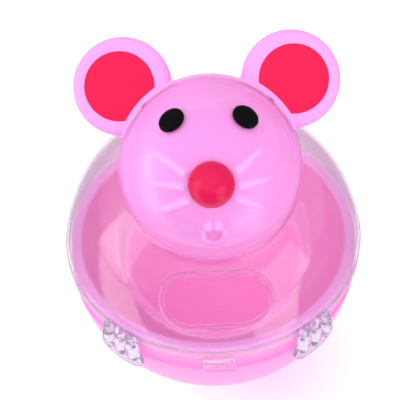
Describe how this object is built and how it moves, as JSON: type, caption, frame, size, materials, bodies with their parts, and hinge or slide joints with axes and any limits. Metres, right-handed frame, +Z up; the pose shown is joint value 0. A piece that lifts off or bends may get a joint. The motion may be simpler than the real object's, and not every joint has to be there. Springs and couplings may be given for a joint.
{
  "type": "roly-poly treat toy",
  "caption": "Mouse-shaped self-righting treat toy: a weighted ball base holding a food bowl, under a clear hinged cover with a round head and an oval treat outlet.",
  "frame": {"origin": "middle of the small flat face under the ball base that the toy rests on", "axes": "+Z up, the mouse looks along -Y, the hinge is at +Y, +X is the viewer's right when facing the mouse"},
  "size_m": [0.0918, 0.1001, 0.1211],
  "materials": {
    "pink_base": "moulded, soft gloss",
    "pink_bowl": "moulded, soft gloss",
    "pink_head": "moulded, soft gloss",
    "clear_plastic": "clear, polished",
    "red_gloss": "moulded, gloss",
    "black_gloss": "moulded, satin",
    "zinc_steel": "zinc plated",
    "cast_weight": "rough cast"
  },
  "bodies": {
    "base": {"base_shell": "pink_base", "bowl_liner": "pink_bowl", "counterweight": "cast_weight", "base_screw_1": "zinc_steel", "base_screw_2": "zinc_steel", "base_screw_3": "zinc_steel", "hinge_pin": "zinc_steel"},
    "cover": {"clear_cover": "clear_plastic", "paw_left": "clear_plastic", "paw_right": "clear_plastic", "head_liner": "pink_head", "ear_left": "pink_head", "ear_right": "pink_head", "ear_insert_left": "red_gloss", "ear_insert_right": "red_gloss", "ear_screw_left": "zinc_steel", "ear_screw_right": "zinc_steel", "nose": "red_gloss", "nose_clip": "zinc_steel", "eye_left": "black_gloss", "eye_right": "black_gloss"},
    "latch": {"latch_tab": "clear_plastic"}
  },
  "joints": [
    {"name": "cover_hinge", "type": "hinge", "parent": "base", "child": "cover", "pos_m": [0, 0.05, 0.0442], "axis": [-1, 0, 0], "range_deg": [0, 95]},
    {"name": "latch_flex", "type": "hinge", "parent": "cover", "child": "latch", "pos_m": [0, -0.0458, 0.0442], "axis": [-1, 0, 0], "range_deg": [0, 8], "stiffness_Nm_per_rad": 0.02}
  ]
}
